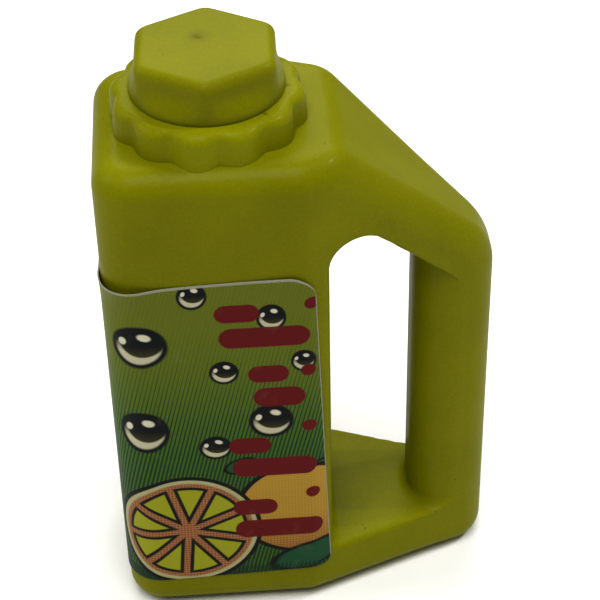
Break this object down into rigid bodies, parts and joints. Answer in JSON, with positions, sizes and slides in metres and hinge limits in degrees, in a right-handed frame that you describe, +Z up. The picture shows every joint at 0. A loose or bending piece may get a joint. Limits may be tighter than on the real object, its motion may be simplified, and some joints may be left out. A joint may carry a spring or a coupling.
{
  "type": "miniature handled jug",
  "caption": "Small moulded handled jug with a hexagonal screw cap, a scalloped neck collar and a wrap-around label.",
  "frame": {"origin": "on the resting face, under the middle of the overall box", "axes": "+Z up; +X from the label end to the handle; +Y across the jug's thickness"},
  "size_m": [0.035, 0.0194, 0.0568],
  "materials": {
    "jug_plastic": "yellow-green moulded plastic, semi-gloss",
    "collar_plastic": "yellow-green moulded plastic, semi-gloss",
    "cap_plastic": "yellow-green moulded plastic, satin",
    "liner_foam": "off-white foamed sealing wad",
    "label_paper": "printed and coated self-adhesive paper with a bare white cut edge"
  },
  "bodies": {
    "jug": {"jug_body": "jug_plastic", "neck_collar": "collar_plastic", "label": "label_paper"},
    "liner": {"cap_liner": "liner_foam"},
    "cap": {"screw_cap": "cap_plastic"}
  },
  "joints": [
    {"name": "cap_lift", "type": "slide", "parent": "jug", "child": "liner", "axis": [0, 0, 1], "range_m": [0, 0.003]},
    {"name": "cap_turn", "type": "hinge", "parent": "liner", "child": "cap", "pos_m": [-0.00732, 0, 0.0552], "axis": [0, 0, 1], "range_deg": [0, 720]}
  ],
  "couplings": [
    {"joint": "cap_turn", "follows": "cap_lift", "rad_per_m": 4188.8}
  ]
}
